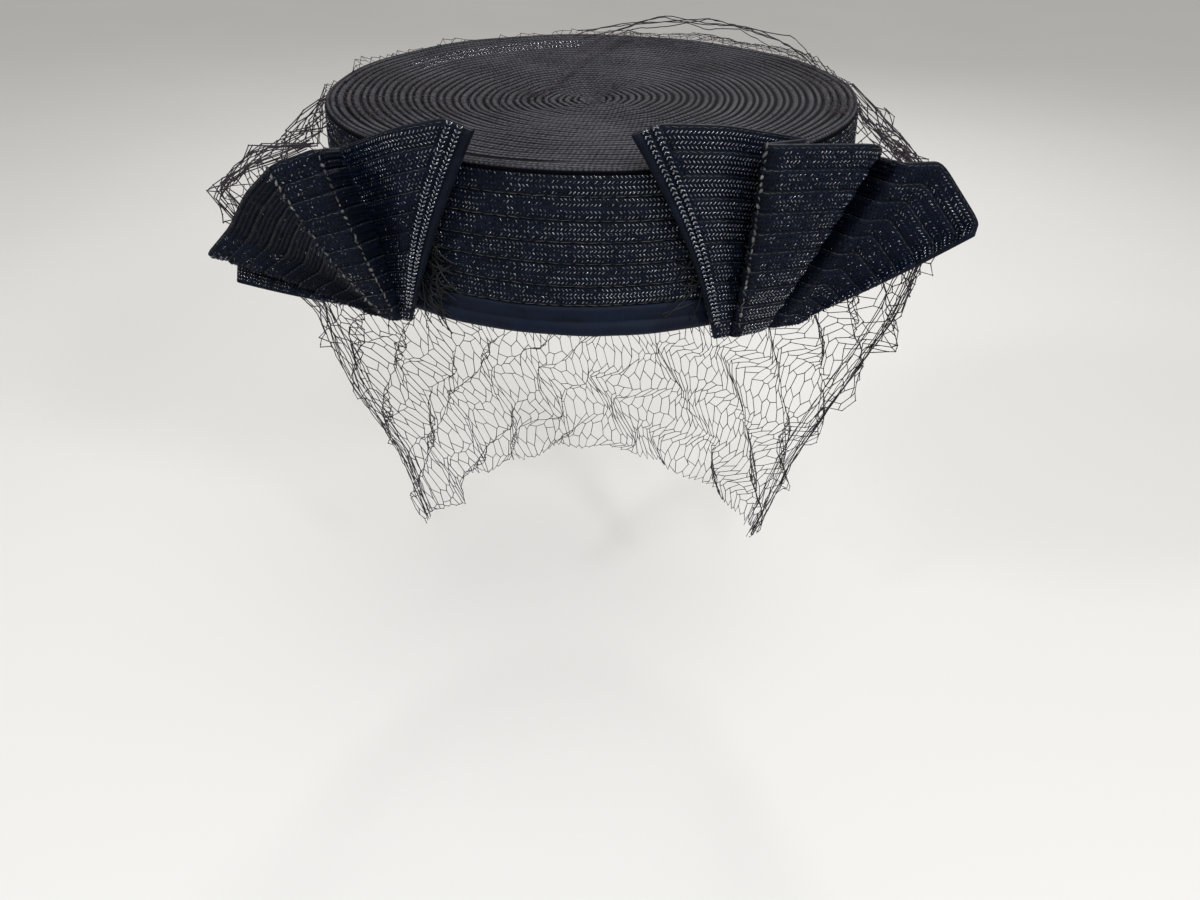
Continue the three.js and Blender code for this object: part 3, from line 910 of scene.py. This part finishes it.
# %% Gloss of the panels, with painted shade where it is low, from the front hem to the far end
LEFT_GLOSS_AND_PAINTED_SHADE = (
    (0.5, 0.4, 0.5), (0.62, 0.38, 0.6), (0.5, 0.33, 0.52), (0.3, 0.3, 0.32), (0.38, 0.38, 0.4),
    (0.38, 0.36, 0.34), (0.3, 0.3, 0.34), (0.33, 0.3, 0.44), (0.36, 0.34, 0.54), (0.46, 0.42, 0.6))
RIGHT_GLOSS_AND_PAINTED_SHADE = (
    (0.5, 0.5, 0.5), (0.56, 0.64, 0.66), (0.44, 0.5, 0.62), (0.3, 0.3, 0.3), (0.66, 0.41, 0.5),
    (0.33, 0.31, 0.32), (0.32, 0.32, 0.36), (0.4, 0.38, 0.42), (0.4, 0.38, 0.5), (0.48, 0.46, 0.6))
# The inner face is a little darkened by its low value: painted shade.
BACK_GLOSS_AND_PAINTED_SHADE = ((0.42, 0.42, 0.42),)


def panel_gloss_and_painted_shade(table, columns, share):
    panel = np.minimum(np.arange(columns) // (PANEL_STEPS + BEND_STEPS), len(table) - 1)
    return np.array([np.interp(share, (0, 0.5, 1), table[k]) for k in panel])


# %% Lines across a fan, on its outer face (1) or its inner face (-1)
HEM_COLUMNS = PANEL_STEPS - 1


def fan_lines(side, folds, face, shares_in_row, lift=-0.04, lean=LEAN, table=BACK_GLOSS_AND_PAINTED_SHADE):
    grid, normal, shares, lifts = fan_grid(side, folds)
    lines = []
    for row in range(FAN_ROWS):
        for line, place in enumerate(shares_in_row):
            share = (row + place) / FAN_ROWS
            at = min(np.searchsorted(shares, share), len(shares) - 1)
            mix = (share - shares[at - 1]) / (shares[at] - shares[at - 1])
            middle, out, stand = (rows[at - 1] + (rows[at] - rows[at - 1]) * mix
                                  for rows in (grid, normal, lifts))
            points = middle + face * out * (FAN_WALL / 2 + (stand if face > 0 else 0.0) + lift)
            kept = slice(HEM_COLUMNS if face > 0 else 1, -1)
            gloss_and_painted_shade = panel_gloss_and_painted_shade(table, len(points), share)
            lines.append({"points": points[kept], "out": face * out[kept], "gloss_and_painted_shade": gloss_and_painted_shade[kept],
                          "lean": lean if line % 2 else -lean})
    return lines


# %% Stitches that run up chosen folds, on the outer face
def fold_stitches(side, folds, sewn):
    grid, normal, _, lifts = fan_grid(side, folds)
    stand = (FAN_WALL / 2 + lifts + 0.1)[:, None]
    lines = []
    for fold in sewn:
        at = fold * (PANEL_STEPS + BEND_STEPS) - BEND_STEPS // 2
        lines.append({"points": (grid[:, at] + normal[:, at] * stand)[4:], "out": normal[4:, at]})
    return lines


# %% Both fans
FAN_SEAM = {"pitch": 1.9, "length": 2.0, "width": 0.22, "height": 0.2, "unevenness": 0.3}
# The fold stitches are laid in the pale thread, whose light colour is painted highlight for their glints.
STITCH = {"pitch": 2.1, "length": 1.6, "width": 0.65, "height": 0.5, "unevenness": 0.6}


def fan(name, side, folds, seed, table, sewn):
    cloth = keep(fan_cloth(name + "_cloth", side, folds), "glossy_straw", name)
    front = fan_lines(side, folds, 1, LINES_IN_ROW, table=table)
    back = fan_lines(side, folds, -1, LINES_IN_ROW)
    seams = fan_lines(side, folds, 1, (SEAM_SHARE,), lift=0.0, lean=0.0)
    pieces = []
    for title, lines, size, material, shift in (
            ("_plaits", front, STRAND, fan_straw, 1),
            ("_back_plaits", back, STRAND, fan_straw, -1),
            ("_seams", seams, FAN_SEAM, sewing_thread, 3),
            ("_stitches", fold_stitches(side, folds, sewn), STITCH, thread_with_painted_glints, 4)):
        made = strands_on(name + title, lines, **size, material=material, seed=seed + shift)
        pieces.append(keep(made, "glossy_straw"))
    return cloth, pieces


def wall_area(piece):
    """Half the surface of a closed wall, in square metres."""
    return sum(p.area for p in piece.data.polygons) / 2


left_cloth, left_pieces = fan("left_fan", -1, LEFT_FOLDS, 11, LEFT_GLOSS_AND_PAINTED_SHADE, (4, 5))
right_cloth, right_pieces = fan("right_fan", 1, RIGHT_FOLDS, 21, RIGHT_GLOSS_AND_PAINTED_SHADE, (4,))
print(f"cloth in the fans: {wall_area(left_cloth) * 1e4:.0f} and {wall_area(right_cloth) * 1e4:.0f} cm2")

# %% [markdown]
# ## The fan hems
# The front edge of each fan is turned back and shows two braid rows that run up the edge, across
# the others. Each row is two lines of strands, so from the front it looks like a dotted rib.

# %% The hems
HEM_LIFT = 1.1
HEM_WALL = 0.4
HEM_INSET = 0.04
HEM_GLOSS = 0.64
HEM_STRAND = {"pitch": 1.35, "length": 1.45, "width": 0.8, "height": 0.5}
HEM_LINES = (0.37, 0.49, 0.72, 0.84)
HEM_RIBS = (
    (0.0, -0.1), (0.04, 0.4), (0.14, 0.6), (0.26, 0.4), (0.3, 0.1), (0.34, 0.45), (0.43, 0.6),
    (0.55, 0.45), (0.605, -0.05), (0.66, 0.45), (0.78, 0.6), (0.9, 0.45), (0.95, 0.1), (1.0, -0.1))


def hem_frame(side, folds):
    """The hem's edge, its direction across and its outward direction, up the fan."""
    shares = np.linspace(0.1, 1.0, 28)
    edges = np.array([fold_points(side, folds, share)[:2] for share in shares])
    edge, across = edges[:, 0], edges[:, 1] - edges[:, 0]
    up = np.gradient(edge, axis=0)
    out = np.cross(across, up) * side
    out /= np.linalg.norm(out, axis=1, keepdims=True)
    return edge, across, out


def fan_hem(name, side, folds, seed):
    edge, across, out = hem_frame(side, folds)

    def rail(place, lift):
        return edge + across * (HEM_INSET + place) + out * (HEM_LIFT + lift)

    outer = np.stack([rail(place, lift) for place, lift in HEM_RIBS], 1)
    inner = np.stack([rail(place, -HEM_WALL) for place, _ in HEM_RIBS], 1)
    ground = thick_sheet(name + "_ground", side, outer, inner, straw_ground)
    keep(ground, "glossy_straw", name)
    lines = []
    for line, place in enumerate(HEM_LINES):
        lift = np.interp(place, *np.array(HEM_RIBS).T)
        lines.append({"points": rail(place, lift), "out": out, "gloss_and_painted_shade": HEM_GLOSS,
                      "lean": LEAN if line % 2 else math.pi - LEAN})
    made = strands_on(name + "_plaits", lines, **HEM_STRAND, material=fan_straw, seed=seed)
    return [ground, keep(made, "glossy_straw")]


left_pieces += fan_hem("left_fan_hem", -1, LEFT_FOLDS, 31)
right_pieces += fan_hem("right_fan_hem", 1, RIGHT_FOLDS, 41)

# %% [markdown]
# ## The veil
# Millinery net is knotted thread in six-sided meshes. The flat net is drawn first, as rows of
# zigzags joined by uprights, and each knot is then carried to its place on the hanging cloth: up
# the back from the hem to the shoulder, and in over the tip. Every knot is shifted a little, since
# no two meshes of a worn veil look alike. A second tree turns the lines into thread and knots.

# %% The veil's measures
VEIL_RISES = np.array([-166, -122, -78, -34, 2, 20, 28, 35, 44], float)
VEIL_OPEN_LEFT = np.array([104, 100, 91, 81, 73, 70, 69, 68, 66], float)
VEIL_OPEN_RIGHT = np.array([104, 102, 97, 86, 75, 72, 71, 70, 68], float)
VEIL_REACH = np.array([
    (84, 89, 93, 86, 79), (92, 98, 100, 96, 91), (101, 105, 104, 106, 107),
    (104, 107, 104, 111, 115), (119, 108, 101, 110, 117), (128, 105, 98, 106, 118),
    (121, 101, 96, 102, 115), (97, 96, 95, 98, 107), (93, 93, 93, 93, 95)], float)
VEIL_WAVE = np.array([1.8, 1.8, 1.5, 1.2, 0.9, 0.6, 0.3, 0, 0])
VEIL_FOLDS = 7
VEIL_CLEAR = 1.3
VEIL_HANG = VEIL_RISES[-1] - VEIL_RISES[0]
VEIL_OVER = 58
VEIL_FRONT = {
    "share": (0, 0.2, 0.36, 0.46, 0.53, 0.65, 0.8, 1),
    "x": (-54, -34, -13, 2, 15, 42, 71, 76),
    "y": (-56, -46, -21, 24, 68, 66, 35, -34),
    "arch": (0, 0.3, 0.5, 0.5, 1, 2, 1, 0),
}


# %% The hanging part: each row of the tables is a height, each column a stop round the back
def smooth_along(stops, share):
    """A smooth value through five even stops, stops[..., 5]."""
    place = np.clip(share, 0, 1) * 4
    at = np.clip(place.astype(int), 0, 3)
    t = place - at
    index = np.arange(len(share))
    a, b, c, d = (stops[index, np.clip(at + k, 0, 4)] for k in (-1, 0, 1, 2))
    rise, run = (c - a) / 2, (d - b) / 2
    cubic = (2 * b - 2 * c + rise + run) * t ** 3
    return cubic + (-3 * b + 3 * c - 2 * rise - run) * t ** 2 + rise * t + b


def hanging_point(share, rise):
    def at_rise(column):
        return np.interp(rise, VEIL_RISES, column)

    stops = np.stack([at_rise(VEIL_REACH[:, k]) for k in range(5)], -1)
    turn = -at_rise(VEIL_OPEN_LEFT) * (1 - share) + (at_rise(VEIL_OPEN_RIGHT) - 360) * share
    wave = at_rise(VEIL_WAVE) * np.sin(np.pi * share) * np.sin(VEIL_FOLDS * 2 * np.pi * share)
    point = around(turn, smooth_along(stops, share) + wave, rise)
    oval = np.clip(np.abs(rise - CROWN_HEIGHT) / CROWN_HEIGHT, 0, 1)
    point[..., 0] *= CROWN_OVAL + (1 - CROWN_OVAL) * oval
    return point


# %% The part over the tip, up to its front edge
def front_edge(share, column):
    stops, values = np.array(VEIL_FRONT["share"]), np.array(VEIL_FRONT[column], float)
    at = np.clip(np.searchsorted(stops, share), 1, len(stops) - 1)
    t = (share - stops[at - 1]) / (stops[at] - stops[at - 1])
    t = np.clip(t, 0, 1) ** 2 * (3 - 2 * np.clip(t, 0, 1))
    return values[at - 1] + (values[at] - values[at - 1]) * t


def over_point(share, reach):
    turn = -VEIL_OPEN_LEFT[-1] * (1 - share) + (VEIL_OPEN_RIGHT[-1] - 360) * share
    edge = around(turn, CROWN_RADIUS - SHOULDER / 2, 0.0)
    x = edge[..., 0] * CROWN_OVAL * (1 - reach) + front_edge(share, "x") * reach
    y = edge[..., 1] * (1 - reach) + front_edge(share, "y") * reach
    arch = front_edge(share, "arch") * np.sin(np.pi * (0.2 + 0.6 * reach))
    return np.stack([x, y, tip_height(x, y) + VEIL_CLEAR + arch], -1)


def veil_point(share, along):
    """The place of a point of the net: its share of the way round and its distance from the hem."""
    share, along = np.clip(share, 0, 1), np.asarray(along, float)
    hanging = hanging_point(share, VEIL_RISES[0] + np.clip(along, 0, VEIL_HANG))
    over = over_point(share, np.clip((along - VEIL_HANG) / VEIL_OVER, 0, 1))
    return np.where((along > VEIL_HANG)[..., None], over, hanging)


# %% The flat net
NET = {"wide": 400, "mesh": 5.0, "course": 6.4, "zigzag": 2.2, "thread": 0.19, "knot": 0.38}


def flat_net(wide, tall):
    """Knots and threads of a flat net: places in millimetres and pairs of knots."""
    columns, rows = int(wide / NET["mesh"] * 2) + 1, int(tall / NET["course"]) + 1
    r, i = np.mgrid[0:rows, 0:columns]
    place = np.stack([i * NET["mesh"] / 2, r * NET["course"] + NET["zigzag"] * ((i + r) % 2)], -1)
    number = np.arange(rows * columns).reshape(rows, columns).tolist()
    zigzags = [(number[r][i], number[r][i + 1]) for r in range(rows) for i in range(columns - 1)]
    uprights = [(number[r][i], number[r + 1][i]) for r in range(rows - 1)
                for i in range(columns) if (i + r) % 2]
    return place.reshape(-1, 2), zigzags + uprights


# %% [markdown]
# ## Hanging the net
# The knots are carried to the cloth, pushed about by a few long waves, and shaken a little. Waves
# crush a whole patch one way, as a hand does, while the shaking makes each mesh its own shape.

# %% The hung net
CRUMPLE = {"waves": 6, "push": 0.5, "shortest": 0.7, "longest": 1.6}
SHIFT = {"flat": 0.6, "hung": 0.3}
NET_REST = 0.35
SHOULDER_ZONE = 12


def crumpled(points, swell, length, draw):
    """Smooth waves of about the given length through a cloud of points."""
    moved = points.copy()
    for _ in range(CRUMPLE["waves"]):
        across = draw.normal(0, 1, 3)
        span = length * draw.uniform(CRUMPLE["shortest"], CRUMPLE["longest"])
        across *= 2 * np.pi / span / np.linalg.norm(across)
        push = draw.normal(0, CRUMPLE["push"], 3)
        moved += (swell * np.sin(points @ across + draw.uniform(0, 2 * np.pi)))[:, None] * push
    return moved


def settle(points):
    """Keeps the net just clear of the straw that it lies on."""
    flat = np.hypot(points[:, 0] / CROWN_OVAL, points[:, 1])
    floor = tip_height(points[:, 0], points[:, 1]) + NET_REST
    on_tip = (flat < CROWN_RADIUS) & (points[:, 2] > CROWN_HEIGHT - SHOULDER_ZONE)
    points[on_tip, 2] = np.maximum(points[on_tip, 2], floor[on_tip])
    return points


def hung_net(name, wide, tall, carry, seed, stout, swell, wave):
    """A net carried to its place. Stoutness and swell depend on the distance from its hem."""
    flat, threads = flat_net(wide, tall)
    draw = np.random.default_rng(seed)
    flat = flat + draw.normal(0, SHIFT["flat"], flat.shape)
    places = carry(flat[:, 0] / wide, flat[:, 1])
    places = crumpled(places, swell(flat[:, 1]), wave, draw)
    places = settle(places + draw.normal(0, SHIFT["hung"], places.shape))
    made = edges_object(name, places, threads, knotted=True, stout=stout(flat[:, 1]))
    return threads_on(made, NET["thread"], net_thread, knots=NET["knot"])


def fade(along, before, length, start, end):
    """A value that changes from start to end where the net comes to the shoulder."""
    return start + (end - start) * np.clip((along - VEIL_HANG + before) / length, 0, 1)


def veil_stout(along):
    return fade(along, 4, 8, 1.0, 0.4)


def veil_swell(along):
    return fade(along, 30, 30, 2.4, 0.8)


VEIL_CRUSH = 22
veil = keep(hung_net("veil_net", NET["wide"], VEIL_HANG + VEIL_OVER, veil_point, 51, veil_stout,
                     veil_swell, VEIL_CRUSH), "net", "veil")

# %% [markdown]
# ## Where the net is bunched
# The free edges of the net are rolled into cords of many threads, two thinner bundles cross the
# tip, and a few threads arch above its back edge. Each is drawn as a few wandering threads.

# %% Bundles: a path, how many threads, how far they wander, the seed
TIP_BUNDLES = (
    (((-22, -8), (-8, 40), (10, 86)), 1.2, 7, 1.5, 61),
    (((0, -9), (5, 2), (8, 18)), 1.0, 4, 1.0, 62))
EDGE_BUNDLES = ((0.004, 5, 63), (0.03, 3, 64), (0.985, 8, 65), (0.955, 3, 66))
ARCHES = {"from": 0.46, "to": 0.8, "lift": 4.5, "bundles": ((6, 3, 67), (22, 2, 68))}


def wandering(points, spread, draw):
    """A copy of a path that wanders smoothly about it."""
    count = len(points)
    steps = np.linspace(0, 1, 7)
    drift = np.stack([np.interp(np.linspace(0, 1, count), steps, draw.normal(0, spread, 7))
                      for _ in range(3)], -1)
    return points + drift + draw.normal(0, spread * 0.12, (count, 3))


def bundle_lines(path, threads, spread, seed, stout=1.0):
    draw = np.random.default_rng(seed)
    return [{"points": wandering(path, spread, draw), "stout": stout} for _ in range(threads)]


def tip_path(start, middle, end, lift):
    t = np.linspace(0, 1, 24)[:, None]
    flat = (1 - t) ** 2 * np.array(start) + 2 * t * (1 - t) * np.array(middle) + t ** 2 * np.array(end)
    return np.column_stack([flat, tip_height(flat[:, 0], flat[:, 1]) + lift])


def veil_bundles():
    lines = []
    for stops, lift, threads, spread, seed in TIP_BUNDLES:
        lines += bundle_lines(tip_path(*stops, lift), threads, spread, seed, stout=0.6)
    along = np.linspace(4, VEIL_HANG - 8, 60)
    for share, threads, seed in EDGE_BUNDLES:
        lines += bundle_lines(veil_point(np.full(60, share), along), threads, 1.2, seed)
    share = np.linspace(ARCHES["from"], ARCHES["to"], 40)
    lift = np.sin(np.pi * (share - ARCHES["from"]) / (ARCHES["to"] - ARCHES["from"]))
    for over, threads, seed in ARCHES["bundles"]:
        path = veil_point(share, np.full(40, VEIL_HANG + over)) + lift[:, None] * (0, 0, ARCHES["lift"])
        lines += bundle_lines(path, threads, 1.3, seed)
    return threads_on(lines_object("veil_bundles", lines), NET["thread"], net_thread)


bundles = keep(veil_bundles(), "net")

# %% [markdown]
# ## Loops behind the fans
# Behind each fan the net is crushed into loose loops. They are two small nets of their own, hung in
# the corners of the veil with a much stronger crumple, because one net can't be both.

# %% Loops behind the fans
PUFF_STOUT = 0.8
PUFF_CRUSH = 19
PUFFS = {
    "left": {"shares": (0.0, 0.09), "along": (150, 190), "flat": (38, 46), "swell": 3.0, "seed": 71},
    "right": {"shares": (0.89, 1.0), "along": (172, 210), "flat": (44, 42), "swell": 2.8, "seed": 72},
}


def puff(side, shares, along, flat, swell, seed):
    (low, high), (bottom, top), (wide, tall) = shares, along, flat

    def carry(share, rise):
        return veil_point(low + (high - low) * share, bottom + rise / tall * (top - bottom))

    return hung_net("veil_puff_" + side, wide, tall, carry, seed,
                    lambda rise: PUFF_STOUT, lambda rise: swell, PUFF_CRUSH)


puffs = [keep(puff(side, **measures), "net") for side, measures in PUFFS.items()]

# %% [markdown]
# ## Frayed ends at the gathers
# Where the fans are gathered the straw has frayed into fine black threads. A few dozen short curved
# threads start in the gather and stray over the band.

# %% Frays
FRAYS = {
    "left": {"side": -1, "turn": 26, "count": 64, "seed": 81},
    "right": {"side": 1, "turn": 24, "count": 16, "seed": 82},
}
FRAY_RADIUS = 0.22
FRAY = {"turn": (-1, 4), "rise": (6, 34), "across": (0.5, 6.5), "fall": (-12, 8),
        "curl": (-2.0, 2.0), "stand": (0.3, 2.0)}


def frays(side, turn, count, seed):
    draw = np.random.default_rng(seed)
    t = np.linspace(0, 1, 9)
    lines = []
    for _ in range(count):
        start_turn, start_rise, across, fall, curl, stand = (draw.uniform(*FRAY[k]) for k in FRAY)
        turns = side * (turn + start_turn) - side * across * t
        rises = start_rise + fall * t + curl * np.sin(np.pi * t)
        reach = CROWN_RADIUS + BAND_BULGE + 0.5 + stand * np.sin(np.pi * t)
        lines.append({"points": oval(turns, reach, rises)})
    return lines


fray_lines = [line for ends in FRAYS.values() for line in frays(**ends)]
keep(threads_on(lines_object("frayed_threads", fray_lines), FRAY_RADIUS, frayed_straw, sides=3), "net")

# %% [markdown]
# ## What the soft pieces are
# The veil and the two fans are sheets. The net covers well under half of its flat size with thread,
# and each fan is cut as a wedge.


# %% [markdown]
# ## Floor and light
# A plain pale floor below the veil, a soft sky and a softer sun from above for the shape, and four
# small windows for the glints: a lacquered strand shows a window only where it faces it.

# %% Floor
FLOOR = {"rise": -247, "half": 40000, "grain": 400}
PALE = ((0.64, 0.625, 0.60), (0.69, 0.675, 0.65))


def add_floor():
    corners = [(x * FLOOR["half"], y * FLOOR["half"], FLOOR["rise"])
               for x, y in ((-1, -1), (1, -1), (1, 1), (-1, 1))]
    mesh = new_mesh("floor", corners, faces=[(0, 1, 2, 3)], smooth=False)
    made, bench, shader, place = new_material("pale floor", 0.8, specular=0.2)
    feed(bench, shader, "Base Color", blend(bench, noise(bench, place, FLOOR["grain"]), *PALE))
    mesh.materials.append(made)
    new_object("floor", mesh)


add_floor()

# %% Light
SKY = {"Color": (0.86, 0.85, 0.83, 1), "Strength": 0.32}
SUN = {"place": (0.25, -0.45, 1.0), "strength": 1.2, "soft": 50}
WINDOWS = {
    "right window": ((0.62, -0.70, 0.55), 0.15, 5, (0.93, 0.96, 1.0)),
    "left window": ((-0.75, -0.55, 0.6), 0.15, 4, (0.90, 0.95, 1.0)),
    "front window": ((0.15, -1.0, 0.75), 0.18, 5, (0.93, 0.96, 1.0)),
    "back window": ((0.1, 0.95, 0.7), 0.3, 6, (1.0, 1.0, 1.0)),
}


def add_light(name, kind, place, energy):
    """A light that looks from its place at the middle of the head opening."""
    data = bpy.data.lights.new(name, kind)
    data.energy = energy
    light = new_object(name, data)
    light.location = place
    light.rotation_euler = (-Vector(place)).to_track_quat("-Z", "Y").to_euler()
    return data


world = bpy.data.worlds.new("studio")
world.use_nodes = True
for socket, value in SKY.items():
    world.node_tree.nodes["Background"].inputs[socket].default_value = value
bpy.context.scene.world = world
sun = add_light("overhead", "SUN", SUN["place"], SUN["strength"])
sun.angle = math.radians(SUN["soft"])
for name, (place, size, watts, colour) in WINDOWS.items():
    window = add_light(name, "AREA", place, watts)
    window.shape, window.size, window.color = "DISK", size, colour
bpy.context.scene.view_settings.view_transform = "Standard"
print("lights:", sun.name, "and", ", ".join(WINDOWS))
